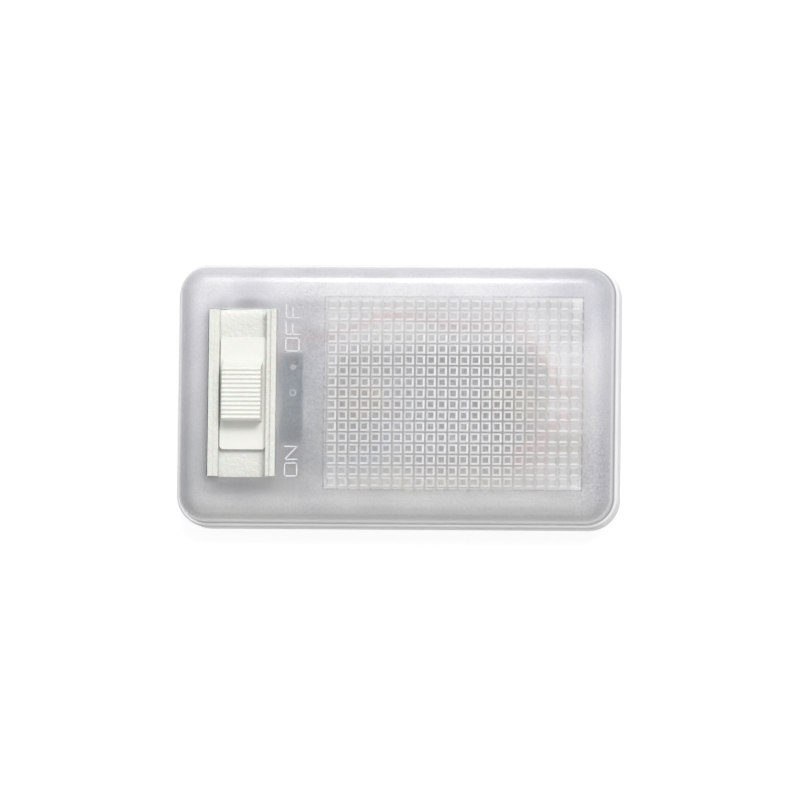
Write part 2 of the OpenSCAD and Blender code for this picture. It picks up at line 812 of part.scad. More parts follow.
module slider_carriage()
{
    color([0.3, 0.31, 0.33])
    translate([switch_x, 0, 0])
    difference() {
        translate([-carriage_w / 2, -carriage_l / 2, carriage_z])
            cube([carriage_w, carriage_l, carriage_top - carriage_z]);
        translate([-stem_w / 2 - 0.05, -stem_t / 2 - 0.05, carriage_top - 1.4])
            cube([stem_w + 0.1, stem_t + 0.1, 5]);
        translate([0, 0, carriage_z - 1]) cylinder(h = pocket_top - carriage_z + 1, r = pocket_r);
        translate([-mover_l / 2 - 0.1, -mover_w / 2 - 0.1, carriage_z - 1])
            cube([mover_l + 0.2, mover_w + 0.2, 1.4]);
    }
}

module contact_spring()
{
    turns = 4;
    per_turn = 10;
    wire_r = 0.2;
    coil_r = pocket_r - 0.25 - wire_r;
    low = mover_z + mover_t + wire_r + 0.05;
    high = pocket_top - wire_r - 0.05;
    color([0.62, 0.63, 0.66])
    translate([switch_x, 0, 0])
        wire([for (i = [0 : turns * per_turn])
            let (a = 360 * i / per_turn)
                [coil_r * cos(a), coil_r * sin(a), lerp(low, high, i / (turns * per_turn))]],
            wire_r, 6);
}

module moving_contact()
{
    color([0.82, 0.68, 0.34])
    translate([switch_x, 0, mover_z]) {
        translate([-mover_l / 2, -mover_w / 2, 0]) cube([mover_l, mover_w, mover_t]);
        for (sx = [-1, 1])
            translate([sx * pad_x, 0, 0])
                intersection() {
                    translate([0, 0, dimple_r - dimple_h]) sphere(dimple_r);
                    translate([-2, -2, -dimple_h - 1]) cube([4, 4, dimple_h + 1 + eps]);
                }
    }
}

// The slots where the contacts' tails pass the board
module tail_slot(x, y)
{
    translate([x - tail_w / 2 - 0.1, y - tail_t / 2 - 0.1, 0])
        cube([tail_w + 0.2, tail_t + 0.2, 20]);
}

module contact_board()
{
    color([0.48, 0.33, 0.2])
    translate([switch_x, 0, 0])
    difference() {
        translate([-board_w / 2, -board_l / 2, board_z]) cube([board_w, board_l, board_t]);
        for (sy = [-1, 1])
            translate([0, sy * board_rivet_y, 0]) cylinder(h = 20, r = board_rivet_r + pilot_gap);
        tail_slot(-pad_x, fixed_y);
        tail_slot(pad_x, tail_y);
        tail_slot(pad_x, on_y - tail_y);
    }
}

// A brass contact on the board with a tail through it
module contact_pad(x, y_low, y_high, y_tail)
{
    color([0.82, 0.7, 0.4])
    translate([switch_x, 0, 0]) {
        translate([x - pad_w / 2, y_low, frame_z]) cube([pad_w, y_high - y_low, pad_t]);
        translate([x - tail_w / 2, y_tail - tail_t / 2, board_z - tail_l])
            cube([tail_w, tail_t, board_t + tail_l + eps]);
    }
}

module common_contact() { contact_pad(-pad_x, on_y - pad_half, fixed_y + 1, fixed_y); }
module door_contact() { contact_pad(pad_x, -pad_half, pad_half, tail_y); }
module on_contact() { contact_pad(pad_x, on_y - pad_half, on_y + pad_half, on_y - tail_y); }

module board_rivets()
{
    color([0.75, 0.75, 0.76])
    for (sy = [-1, 1])
        translate([switch_x, sy * board_rivet_y, 0]) {
            translate([0, 0, board_z - board_rivet_head_t])
                cylinder(h = board_rivet_head_t, r = board_rivet_head_r);
            translate([0, 0, board_z - eps])
                cylinder(h = board_t + board_rivet_grip, r = board_rivet_r);
        }
}

// A self-tapping screw with a cross recess, its head's underside at the given height
module tapping_screw(z_seat, length, head_r, core_r)
{
    difference() {
        union() {
            translate([0, 0, z_seat]) cylinder(h = 0.7, r = head_r);
            translate([0, 0, z_seat + 0.7 - eps]) cylinder(h = 0.6, r1 = head_r, r2 = head_r * 0.6);
            translate([0, 0, z_seat - length]) cylinder(h = length + eps, r = core_r);
        }
        for (turn = [0, 90])
            rotate([0, 0, turn])
                translate([-head_r * 0.6, -0.25, z_seat + 0.6]) cube([head_r * 1.2, 0.5, 2]);
    }
}

module switch_screws()
{
    color([0.7, 0.71, 0.73])
    for (sy = [-1, 1])
        translate([switch_x, sy * ear_y, 0])
            tapping_screw(frame_z + ear_t, ear_t + screw_grip, screw_head_r, screw_core_r);
}

// The plated strip beside the switch: a bridge with a leg and a foot at each end
module ground_strip()
{
    foot_l = 5;
    half = strip_l / 2;
    color([0.55, 0.6, 0.65])
    difference() {
        translate([strip_x - strip_w / 2, strip_y, 0])
            rotate([90, 0, 90])
                linear_extrude(strip_w)
                    polygon([
                        [-half, frame_z],
                        [-half + foot_l, frame_z],
                        [-half + foot_l, frame_z + strip_t],
                        [-half + strip_t, frame_z + strip_t],
                        [-half + strip_t, strip_top - strip_t],
                        [half - strip_t, strip_top - strip_t],
                        [half - strip_t, frame_z + strip_t],
                        [half - foot_l, frame_z + strip_t],
                        [half - foot_l, frame_z],
                        [half, frame_z],
                        [half, strip_top],
                        [-half, strip_top]
                    ]);
        for (sy = [-1, 1])
            translate([strip_x, strip_y + sy * strip_hole_y, 0])
                cylinder(h = frame_z + 4, r = strip_screw_r + 0.25);
        for (sy = [-1, 1])
            translate([strip_x, strip_y + sy * strip_hole_y, frame_z + 4])
                cylinder(h = 12, r = strip_head_r + 0.1);
    }
}

module strip_rivet()
{
    color([0.75, 0.75, 0.76])
    for (sy = [-1, 1])
        translate([strip_x, strip_y + sy * strip_hole_y, 0])
            tapping_screw(frame_z + strip_t, strip_screw_l, strip_head_r, strip_screw_r);
}

// A plug blade through the socket's roof, with a tail for its lead
module plug_blade(i)
{
    color([0.75, 0.76, 0.78])
    translate([socket_x - blade_t / 2, i * blade_pitch - blade_w / 2, 0]) {
        translate([0, 0, blade_low]) cube([blade_t, blade_w, socket_roof - blade_low + blade_tail]);
        translate([-0.5, 0, socket_roof]) cube([blade_t + 1, blade_w, 0.5]);
    }
}

module blade_plus() { plug_blade(-1); }
module blade_door() { plug_blade(0); }
module blade_ground() { plug_blade(1); }

// Routes of the leads, from one soldered end to the other
tab_z = clip_seat_z + brass_t + lead_r + 0.1;
clip_tab_right = bulb_x + clip_x + brass_t + clip_foot + lead_r + 0.1;
blade_side = socket_x - blade_t / 2 - lead_r - 0.1;
blade_end_z = socket_roof + 2;
tail_z = board_z - tail_l + 0.9;
tail_side = tail_t / 2 + lead_r + 0.1;
// A place along the lamp, as a share of the way from the ground strip to the plug socket
function along(t) = lerp(strip_x, socket_x, t);
route_plus = [
    [blade_side, -blade_pitch, blade_end_z],
    [blade_side - 3.5, -blade_pitch - 1, blade_end_z + 2.6],
    [blade_side - 9, -12, 13.4],
    [blade_side - 16, -16.8, 12.8],
    [blade_side - 9.5, -18.6, 9],
    [clip_tab_right + 0.3, -10.4, 6],
    [clip_tab_right + 0.3, -5, clip_seat_z + 1.6],
    [clip_tab_right, -1.5, clip_seat_z + lead_r]
];
route_common = [
    [bulb_x - clip_x - brass_t - clip_foot / 2 - 0.2, bulb_y - clip_w / 2 - lead_r - 0.1, clip_seat_z + lead_r],
    [along(0.277), -8.4, 6.5],
    [along(0.323), -11, 9.6],
    [along(0.31), -14.5, 12.6],
    [along(0.245), -18.4, 11],
    [along(0.154), -17.8, 8],
    [along(0.062), -17.2, 6.6],
    [along(-0.009), -17.4, 4.6],
    [switch_x + 7, -13.5, 3.4],
    [switch_x, -3, 3],
    [switch_x - pad_x, fixed_y - tail_side, tail_z]
];
route_door = [
    [switch_x + pad_x, tail_y + tail_side, tail_z],
    [switch_x + 6, 7, 3.4],
    [switch_x + 12.5, 16, 5],
    [along(0.102), 15.6, 9],
    [along(0.245), 19.6, 13.6],
    [along(0.388), 21.6, 12.6],
    [along(0.57), 19, 12.4],
    [along(0.753), 19.6, 12],
    [along(0.857), 12, 12.6],
    [blade_side - 3.4, 2, blade_end_z + 1.4],
    [blade_side, 0.4, blade_end_z]
];
route_ground = [
    [switch_x + pad_x, on_y - tail_y - tail_side, tail_z],
    [switch_x + 7, -16, 3.2],
    [boss_left - 8, -20, 3.6],
    [boss_left - 1, -15.6, 4.4],
    [boss_left + 7, -20.6, 4.6],
    [boss_left + 12, -25, 4.4],
    [along(0.388), -23.6, 4.2],
    [along(0.674), -22.6, 4.2],
    [boss_right - 13, -21, 4.4],
    [boss_right - 6.6, -15.4, 4.6],
    [socket_x, -14, 6.4],
    [socket_x + 3.6, -11.6, 9.4],
    [socket_x + 3.6, -5, 10],
    [socket_x + 3, 1, 10],
    [socket_x + 2.2, blade_pitch - 2, 10.2],
    [2 * socket_x - blade_side, blade_pitch, blade_end_z]
];

module lead_plus() { color([0.75, 0.12, 0.1]) wire(smooth_route(route_plus), lead_r); }
module lead_common() { color([0.15, 0.3, 0.65]) wire(smooth_route(route_common), lead_r); }
module lead_door() { color([0.8, 0.2, 0.16]) wire(smooth_route(route_door), lead_r); }
module lead_ground() { color([0.85, 0.78, 0.5]) wire(smooth_route(route_ground), lead_r); }

base();
lens();
reflector();
bulb_glass();
bulb_cap_left();
bulb_cap_right();
bulb_filament();
bulb_clip_left();
bulb_clip_right();
clip_rivets();
switch_frame();
switch_slider();
slider_carriage();
contact_spring();
moving_contact();
contact_board();
common_contact();
door_contact();
on_contact();
board_rivets();
switch_screws();
ground_strip();
strip_rivet();
blade_plus();
blade_door();
blade_ground();
lead_plus();
lead_common();
lead_door();
lead_ground();
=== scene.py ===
"""Car dome light: finishes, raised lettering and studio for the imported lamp."""

import json
import math
from math import radians

import bpy
from mathutils import Matrix, Vector


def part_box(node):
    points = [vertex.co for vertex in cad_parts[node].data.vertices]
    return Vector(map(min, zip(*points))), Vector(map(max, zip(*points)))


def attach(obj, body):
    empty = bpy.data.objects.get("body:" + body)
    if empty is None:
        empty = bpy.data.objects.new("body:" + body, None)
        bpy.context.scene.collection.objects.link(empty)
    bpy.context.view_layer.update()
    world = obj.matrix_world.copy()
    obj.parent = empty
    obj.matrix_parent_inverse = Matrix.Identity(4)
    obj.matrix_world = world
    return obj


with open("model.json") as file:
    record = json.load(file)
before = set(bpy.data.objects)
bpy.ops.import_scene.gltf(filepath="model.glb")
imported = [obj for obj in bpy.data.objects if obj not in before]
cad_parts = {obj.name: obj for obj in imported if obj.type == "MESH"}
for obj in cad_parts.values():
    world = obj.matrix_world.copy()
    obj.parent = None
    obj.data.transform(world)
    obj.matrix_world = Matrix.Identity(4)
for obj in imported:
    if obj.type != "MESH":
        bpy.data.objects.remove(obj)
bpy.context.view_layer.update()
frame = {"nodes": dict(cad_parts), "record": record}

MM = 0.001
NODES = frame["nodes"]
WHITE = (1.0, 1.0, 1.0)
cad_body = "housing"      # the body that the lens and its lettering belong to

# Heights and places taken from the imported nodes
LENS_LOW, LENS_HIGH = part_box("lens")
BASE_LOW, BASE_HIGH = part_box("base")
STRIP_LOW, STRIP_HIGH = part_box("ground_strip")
DECK_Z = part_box("switch_frame")[1].z
FACE_Z = DECK_Z + 0.2 * MM               # the lens's face, just above the switch frame
PANEL_Z = FACE_Z - 0.35 * MM             # the sunk panel round the switch
STRIP_X = (STRIP_LOW.x + STRIP_HIGH.x) / 2

# Margins of the lens: clouds, a painted shade towards the front, and fine grain
MARGIN_DULL = (0.76, 0.76, 0.785)
MARGIN_PALE = (0.81, 0.81, 0.82)
CLOUD_MM = 11.0
MARGIN_FRONT_SHADE = (0.79, 0.79, 0.77)
MARGIN_SHADE_Y = (-34 * MM, 22 * MM)
GRAIN_MM = 0.6
GRAIN_DARK = (0.76, 0.76, 0.775)
GRAIN_FAINT = 0.35       # how strongly the grain shows outside its areas

# Areas on the lens, in millimetres: middle, half size, softness (and tint)
GRAINY_AREAS = (
    ((-23.0, 3.0), (6.0, 27.0), 0.5),
    ((56.0, -21.0), (7.0, 13.0), 0.6),
)
# Painted soft shadows and shade on the lens's margins
MARGIN_SHADOWS = (
    ((-39.0, 23.9), (4.6, 1.5), 0.4, (0.78, 0.78, 0.81)),
    ((-39.0, 28.4), (4.8, 3.4), 0.4, (0.88, 0.88, 0.9)),
    ((55.5, -21.5), (4.5, 9.0), 0.6, (0.92, 0.92, 0.95)),
    ((57.5, 2.0), (5.0, 22.0), 0.6, (0.93, 0.93, 0.95)),
    ((52.0, 28.0), (11.0, 9.0), 0.6, (0.8, 0.8, 0.83)),
    ((-56.0, -20.0), (6.0, 16.0), 0.6, (0.84, 0.85, 0.87)),
    ((-56.0, 12.0), (6.0, 14.0), 0.7, (0.9, 0.9, 0.93)),
    ((-40.0, -26.5), (9.0, 3.5), 0.6, (0.88, 0.88, 0.9)),
    ((-22.5, 2.0), (3.5, 14.0), 0.7, (0.93, 0.94, 0.96)),
)

# Painted shade on the shoulders of the lens, by the way they face, and at the foot of its side
# wall
SHOULDER_SHADES = (
    ("+Y", (0.76, 0.76, 0.78)),
    ("-Y", (1.0, 1.0, 0.99)),
    ("-X", (0.86, 0.86, 0.88)),
    ("+X", (0.9, 0.9, 0.92)),
)
SHOULDER_TURN = (0.1, 0.9)
FOOT_SHADE = (0.4, 0.4, 0.41)
FOOT_SHADE_Z = (LENS_LOW.z + 0.5 * MM, LENS_LOW.z + 4.5 * MM)

# The strip behind the lens, and the dot and ring moulded over it
STRIP_END = 1 * MM       # its rear end lies under a darker part of the lens
STRIP_SOFT = 0.6 * MM
MARK = (0.86, 0.88, 0.9)
MARK_Z = (PANEL_Z + 0.03 * MM, PANEL_Z + 0.08 * MM)

# The field of prisms, its colours painted light and shade: dark grooves, lit white slopes, grey
# tops, and shaded rear and side slopes; depths run from 0 on a groove's floor to 1 on the face
FIELD_X = 16.2 * MM
FIELD_HALF_L = 34.85 * MM
FIELD_HALF_W = 25.85 * MM
FIELD_SOFT = 0.05 * MM
FIELD_Z = (FACE_Z - 0.7 * MM, FACE_Z - 0.6 * MM)
PRISM_DEPTH = 0.5 * MM
SLOPE_STARTS = (0.02, 0.16)
SLOPE_ENDS = (0.86, 0.99)
GROOVE_SHADE = (0.54, 0.54, 0.54)
LIT_SLOPE = (0.93, 0.93, 0.925)
REAR_SLOPE_SHADE = (0.74, 0.74, 0.75)
SIDE_SLOPE_SHADE = (0.93, 0.93, 0.93)
SLOPE_TURN = (0.1, 0.5)
FRONT_TURN = (-0.35, -0.1)
TOP_SHADE = (0.63, 0.63, 0.63)
TOP_BLOTCH = (0.8, 0.8, 0.8)
TOP_BLOTCH_MM = 0.7

# Towards the field's borders the prisms are painted paler, standing in for the brighter light
# seen through them, all but their front slopes, which keep a painted highlight
PALE_GROOVE = (0.8, 0.8, 0.8)
PALE_TOP = (0.83, 0.83, 0.83)
PALE_FRONT_HIGHLIGHT = (1.0, 1.0, 1.0)
PALE_SLOPE = (0.82, 0.82, 0.82)
PALE_TO_RIGHT = (30 * MM, 42 * MM)
PALE_TO_REAR = (13 * MM, 30 * MM)
PALE_TO_LEFT = (0.0, 8 * MM)
PALE_LEFT = 0.35
PALE_TO_FRONT = (-33 * MM, -14 * MM)

# How much light passes through the lens: its face, its milky rim, and its details
LENS_PASSES = (1.0, 1.0, 1.0)
CLEAR = 0.74
MILKY = 0.22
SLOPE_CLEAR = 0.12
PALE_SLOPE_MILK = 0.1
PANEL_CLEAR = 0.86
MARK_CLEAR = 0.8
MILKY_CORNER_R = 14.0 * MM
MILKY_FROM = 9.0 * MM
MILKY_TO = 4.5 * MM
REAR_MILK = 3.0 * MM     # the rim is wider by this along the rear
REAR_MILK_Y = (20 * MM, 27 * MM)

# Base: painted shade on its front side and a painted shadow line at the seam round the lens
FRONT_RIM_SHADE = (0.76, 0.76, 0.75)
FRONT_RIM_SHADE_Y = (-35.5 * MM, -34 * MM)
SEAM_SHADE = (0.46, 0.46, 0.47)
SEAM_OFF = (0.15 * MM, 0.4 * MM)
SEAM_Z = (BASE_LOW.z + 2 * MM, BASE_LOW.z + 3 * MM)
LENS_CORNER_R = 8.6 * MM - (BASE_HIGH.x - LENS_HIGH.x)

# Raised words: name, letters, start along Y, letter height and its step back from the strip
WORDS = (
    ("letters_off", "OFF", 11.3 * MM, 3.6 * MM, 1.7 * MM),
    ("letters_on", "ON", -22.6 * MM, 3.3 * MM, 1.6 * MM),
)
LETTER_L = 3.5 * MM
LETTER_GAP = 1.0 * MM
STROKE = 0.36 * MM
RAISE = 0.16 * MM
SINK = 0.01 * MM
STROKE_ROUND = 0.06 * MM

# Strokes of each letter in a box of 1 by 1: x0, y0, x1, y1
LETTERS = {
    "O": [(0, 0, 0, 1), (0, 1, 1, 1), (1, 1, 1, 0), (1, 0, 0, 0)],
    "N": [(0, 0, 0, 1), (0, 1, 1, 0), (1, 0, 1, 1)],
    "F": [(0, 0, 0, 1), (0, 1, 1, 1), (0, 0.5, 0.8, 0.5)],
}

# Studio: floor, world and lamps (place, width, length and watts)
FLOOR_SIZE = 6
FLOOR_GAP = 0.1 * MM
FLOOR_GREY = (0.34, 0.34, 0.34)
FLOOR_GLOW = 0.79        # with what the floor gets from the lamps, it shows as white
WORLD_LIGHT = 0.55
WORLD_SEEN = 1.0
LAMPS_AIM = (0, 0, 0.01)
SHOULDER_REACH = 0.8
SHOULDER_ANGLE = radians(40)
LAMPS = {
    "key_softbox": ((0.3, 0.42, 0.75), 0.3, 0.3, 4.75),
    "shoulder_softbox": ((-0.07, SHOULDER_REACH * math.sin(SHOULDER_ANGLE),
                          SHOULDER_REACH * math.cos(SHOULDER_ANGLE)), 0.09, 0.34, 0.95),
    "front_softbox": ((0, -1.05, 0.35), 1.6, 0.4, 1.5),
}

# Camera, worked out from the lamp's outline in the photograph
CAMERA_DISTANCE = 2.0
CAMERA_DOWN = radians(4.16)
CAMERA_RIGHT = radians(6.18)
CAMERA_ROLL = radians(0.71)
CAMERA_NEAR = 0.05
PIXELS_PER_MM = 3.664
IMAGE_SIZE = 800
SENSOR = 36.0
SHIFT_PX = (1.3, 1.5)


# Steps that the materials share

def new_material(name):
    """A node material with its shader, its coordinates and its links."""
    material = bpy.data.materials.new(name)
    material.use_nodes = True
    tree = material.node_tree
    shader = tree.nodes["Principled BSDF"]
    coords = tree.nodes.new("ShaderNodeTexCoord")
    return material, tree, shader, coords.outputs["Object"]


def noise(tree, coords, size_mm, detail=2.0, roughness=0.5):
    """Cloudy noise whose blotches are about size_mm across."""
    node = tree.nodes.new("ShaderNodeTexNoise")
    tree.links.new(coords, node.inputs["Vector"])
    node.inputs["Scale"].default_value = 1.0 / (size_mm * MM)
    node.inputs["Detail"].default_value = detail
    node.inputs["Roughness"].default_value = roughness
    return node.outputs["Fac"]


def ramp(tree, factor, low, high, colour_low, colour_high):
    """Turns a factor between low and high into a colour."""
    node = tree.nodes.new("ShaderNodeValToRGB")
    tree.links.new(factor, node.inputs["Fac"])
    stops = node.color_ramp.elements
    for stop, position, colour in zip(stops, (low, high), (colour_low, colour_high)):
        stop.position = position
        stop.color = (*colour, 1)
    return node.outputs["Color"]


def between(tree, value, low, high, at_low=0.0, at_high=1.0):
    """at_low below low, at_high above high, and a straight run between them."""
    node = tree.nodes.new("ShaderNodeMapRange")
    tree.links.new(value, node.inputs["Value"])
    node.inputs["From Min"].default_value = low
    node.inputs["From Max"].default_value = high
    node.inputs["To Min"].default_value = at_low
    node.inputs["To Max"].default_value = at_high
    return node.outputs["Result"]


def spread(tree, factor, low, high):
    """Maps a factor of 0 to 1 onto low to high."""
    return between(tree, factor, 0.0, 1.0, low, high)


def bump(tree, shader, height, depth_mm, strength=1.0):
    """Raises the surface by a height pattern."""
    node = tree.nodes.new("ShaderNodeBump")
    tree.links.new(height, node.inputs["Height"])
    node.inputs["Distance"].default_value = depth_mm * MM
    node.inputs["Strength"].default_value = strength
    tree.links.new(node.outputs["Normal"], shader.inputs["Normal"])


def shade(colour, factor):
    """The colour made darker or paler all over."""
    return tuple(channel * factor for channel in colour)


def math_node(tree, operation, first, second=None):
    """A sum on one or two values, each a number or a socket."""
    node = tree.nodes.new("ShaderNodeMath")
    node.operation = operation
    for socket, value in zip(node.inputs, (first, second)):
        if isinstance(value, (int, float)):
            socket.default_value = value
        elif value is not None:
            tree.links.new(value, socket)
    return node.outputs["Value"]


def plus(tree, first, second):
    return math_node(tree, "ADD", first, second)


def minus(tree, first, second):
    return math_node(tree, "SUBTRACT", first, second)


def times(tree, first, second):
    return math_node(tree, "MULTIPLY", first, second)


def larger(tree, first, second):
    return math_node(tree, "MAXIMUM", first, second)


def smaller(tree, first, second):
    return math_node(tree, "MINIMUM", first, second)


def off_centre(tree, value, centre):
    """How far a value is from the centre, to either side."""
    return math_node(tree, "ABSOLUTE", minus(tree, value, centre))


def length(tree, x, y):
    """The length of the arrow with these two sides."""
    return math_node(tree, "SQRT", plus(tree, times(tree, x, x), times(tree, y, y)))


def axes(tree, vector):
    """The X, Y and Z parts of a vector."""
    node = tree.nodes.new("ShaderNodeSeparateXYZ")
    tree.links.new(vector, node.inputs["Vector"])
    return node.outputs["X"], node.outputs["Y"], node.outputs["Z"]


def mix(tree, factor, colour_a, colour_b, blend="MIX"):
    """colour_a where the factor is 0 and colour_b where it is 1."""
    node = tree.nodes.new("ShaderNodeMix")
    node.data_type = "RGBA"
    node.blend_type = blend
    for name, value in (("Factor", factor), ("A", colour_a), ("B", colour_b)):
        socket = node.inputs[name]
        if isinstance(value, tuple):
            socket.default_value = (*value, 1)
        elif isinstance(value, float):
            socket.default_value = value
        else:
            tree.links.new(value, socket)
    return node.outputs["Result"]


def tinted(tree, factor, colour, tint):
    """The colour multiplied by a tint where the factor is 1."""
    return mix(tree, factor, colour, mix(tree, 1.0, colour, tint, "MULTIPLY"))


def mixed_shader(tree, factor, first, second):
    """The first shader where the factor is 0 and the second where it is 1."""
    node = tree.nodes.new("ShaderNodeMixShader")
    tree.links.new(factor, node.inputs["Fac"])
    tree.links.new(first, node.inputs[1])
    tree.links.new(second, node.inputs[2])
    return node.outputs["Shader"]


def let_lamps_through(tree, shader, tint):
    """The lamps' light passes straight through, tinted, so that what is inside is lit."""
    rays = tree.nodes.new("ShaderNodeLightPath")
    through = tree.nodes.new("ShaderNodeBsdfTransparent")
    through.inputs["Color"].default_value = (*tint, 1)
    both = mixed_shader(tree, rays.outputs["Is Shadow Ray"], shader.outputs["BSDF"],
                        through.outputs["BSDF"])
    tree.links.new(both, tree.nodes["Material Output"].inputs["Surface"])


def spot(tree, x, y, middle, half, soft):
    """1 inside an oval on the face, falling to 0 over its soft edge; all in millimetres."""
    away_x, away_y = (math_node(tree, "DIVIDE", minus(tree, value, centre * MM), reach * MM)
                      for value, centre, reach in zip((x, y), middle, half))
    return between(tree, length(tree, away_x, away_y), 1.0 - soft, 1.0 + soft, 1.0, 0.0)


def oblong(tree, x, y, middle, half, soft):
    """1 inside an oblong on the face, falling to 0 over its soft edge; all in metres."""
    inside = [between(tree, off_centre(tree, value, centre), reach - soft, reach + soft, 1.0, 0.0)
              for value, centre, reach in zip((x, y), middle, half)]
    return times(tree, *inside)


def outside_lens(tree, x, y, corner_r):
    """Distance outside the lens's outline, drawn with corners of that radius; negative inside."""
    over = [larger(tree, 0.0, minus(tree, off_centre(tree, value, (low + high) / 2),
                                    (high - low) / 2 - corner_r))
            for value, low, high in ((x, LENS_LOW.x, LENS_HIGH.x), (y, LENS_LOW.y, LENS_HIGH.y))]
    return minus(tree, length(tree, *over), corner_r)


# Plain finishes

def moulded_plastic(name, colour, roughness, grain_mm, grain_depth_mm, uneven=0.04, glow=0.0):
    """A moulded plastic: slightly uneven colour and polish, a fine tooled grain, and some
    light that glows back from inside."""
    material, tree, shader, coords = new_material(name)
    blotches = noise(tree, coords, 9.0, 3.0)
    colours = ramp(tree, blotches, 0.3, 0.7, shade(colour, 1 - uneven),
                   shade(colour, 1 + uneven / 2))
    tree.links.new(colours, shader.inputs["Base Color"])
    polish = noise(tree, coords, 2.2, 2.0)
    tree.links.new(spread(tree, polish, roughness - 0.06, roughness + 0.06),
                   shader.inputs["Roughness"])
    bump(tree, shader, noise(tree, coords, grain_mm, 3.0, 0.6), grain_depth_mm)
    shader.inputs["IOR"].default_value = 1.5
    if glow:
        shader.inputs["Subsurface Weight"].default_value = glow
        shader.inputs["Subsurface Scale"].default_value = 1.2 * MM
    return material


def white_housing(name):
    """The base's white plastic, with painted shade along its front side and a painted shadow line
    at the seam round the lens.
    """
    material = moulded_plastic(name, (0.8, 0.805, 0.81), 0.34, 0.5, 0.01)
    tree = material.node_tree
    base_colour = tree.nodes["Principled BSDF"].inputs["Base Color"]
    x, y, z = axes(tree, tree.nodes["Texture Coordinate"].outputs["Object"])
    # Painted shade along the front side of the base
    front = between(tree, y, *FRONT_RIM_SHADE_Y, 1.0, 0.0)
    colour = tinted(tree, front, base_colour.links[0].from_socket, FRONT_RIM_SHADE)
    # Painted shadow line at the seam round the lens
    off = math_node(tree, "ABSOLUTE", outside_lens(tree, x, y, LENS_CORNER_R))
    seam = times(tree, between(tree, z, *SEAM_Z), between(tree, off, *SEAM_OFF, 1.0, 0.0))
    tree.links.new(tinted(tree, seam, colour, SEAM_SHADE), base_colour)
    return material


def sheet_metal(name, colour, roughness, drawn_mm=0.25, uneven=0.08):
    """A rolled or plated metal with faint drawn lines and patches of dullness."""
    material, tree, shader, coords = new_material(name)
    stretch = tree.nodes.new("ShaderNodeMapping")
    stretch.inputs["Scale"].default_value = (0.08, 1.0, 1.0)
    tree.links.new(coords, stretch.inputs["Vector"])
    lines = noise(tree, stretch.outputs["Vector"], drawn_mm, 2.0)
    patches = noise(tree, coords, 5.0, 2.0)
    colours = ramp(tree, patches, 0.3, 0.75, shade(colour, 1 - uneven), colour)
    tree.links.new(colours, shader.inputs["Base Color"])
    tree.links.new(spread(tree, lines, roughness - 0.08, roughness + 0.1),
                   shader.inputs["Roughness"])
    shader.inputs["Metallic"].default_value = 1.0
    bump(tree, shader, lines, 0.01)
    return material


def sleeve(name, colour):
    """The soft sleeve of a lead, with the faint lines of its extrusion."""
    material, tree, shader, coords = new_material(name)
    smudge = noise(tree, coords, 3.0, 2.0)
    colours = ramp(tree, smudge, 0.35, 0.7, shade(colour, 0.85), colour)
    tree.links.new(colours, shader.inputs["Base Color"])
    tree.links.new(spread(tree, smudge, 0.35, 0.5), shader.inputs["Roughness"])
    bump(tree, shader, noise(tree, coords, 0.3, 1.0), 0.01)
    return material


def clear_glass(name):
    """The bulb's thin glass, with slow waves from its drawing."""
    material, tree, shader, coords = new_material(name)
    shader.inputs["Base Color"].default_value = (0.96, 0.98, 1.0, 1)
    shader.inputs["Transmission Weight"].default_value = 1.0
    shader.inputs["IOR"].default_value = 1.47
    waves = noise(tree, coords, 4.0, 1.0)
    tree.links.new(spread(tree, waves, 0.01, 0.04), shader.inputs["Roughness"])
    bump(tree, shader, waves, 0.02)
    let_lamps_through(tree, shader, (0.9, 0.92, 0.93))
    return material


def letter_finish():
    """The letters' polished tops catch more light than the frosted lens round them."""
    material, tree, shader, coords = new_material("raised letters")
    specks = noise(tree, coords, 0.5, 2.0)
    colours = ramp(tree, specks, 0.3, 0.7, (0.7, 0.71, 0.735), (0.8, 0.81, 0.83))
    tree.links.new(colours, shader.inputs["Base Color"])
    tree.links.new(spread(tree, specks, 0.25, 0.4), shader.inputs["Roughness"])
    bump(tree, shader, specks, 0.01)
    return material


# The frosted lens

def milky_rim(tree, x, y):
    """1 in the milky rim of the lens, which is wider along the rear, and 0 on its face."""
    rear = between(tree, y, *REAR_MILK_Y)
    outward = plus(tree, outside_lens(tree, x, y, MILKY_CORNER_R), times(tree, rear, REAR_MILK))
    return between(tree, outward, -MILKY_FROM, -MILKY_TO)


def margin_colour(tree, coords, place, lean, grain):
    """The lens outside its prisms: clouds, painted soft shadows of what lies below, painted shade
    on the shoulders by the way they face and at the foot, and grain.
    """
    x, y, z = place
    colour = ramp(tree, noise(tree, coords, CLOUD_MM), 0.35, 0.65, MARGIN_DULL, MARGIN_PALE)
    # Painted shade, darker towards the front of the lens
    colour = tinted(tree, between(tree, y, *MARGIN_SHADE_Y, 1.0, 0.0), colour, MARGIN_FRONT_SHADE)
    # Painted soft shadows and shade on the margins
    for middle, half, soft, tint in MARGIN_SHADOWS:
        colour = tinted(tree, spot(tree, x, y, middle, half, soft), colour, tint)
    grainy = larger(tree, *(spot(tree, x, y, *area) for area in GRAINY_AREAS))
    grains = ramp(tree, grain, 0.36, 0.62, GRAIN_DARK, WHITE)
    colour = tinted(tree, spread(tree, grainy, GRAIN_FAINT, 1.0), colour, grains)
    # Painted shade on each shoulder, by the way it faces
    for side, tint in SHOULDER_SHADES:
        toward = lean["XYZ".index(side[1])]
        if side[0] == "-":
            toward = times(tree, toward, -1.0)
        colour = tinted(tree, between(tree, toward, *SHOULDER_TURN), colour, tint)
    # Painted shade at the foot of the side wall
    return tinted(tree, between(tree, z, *FOOT_SHADE_Z, 1.0, 0.0), colour, FOOT_SHADE)


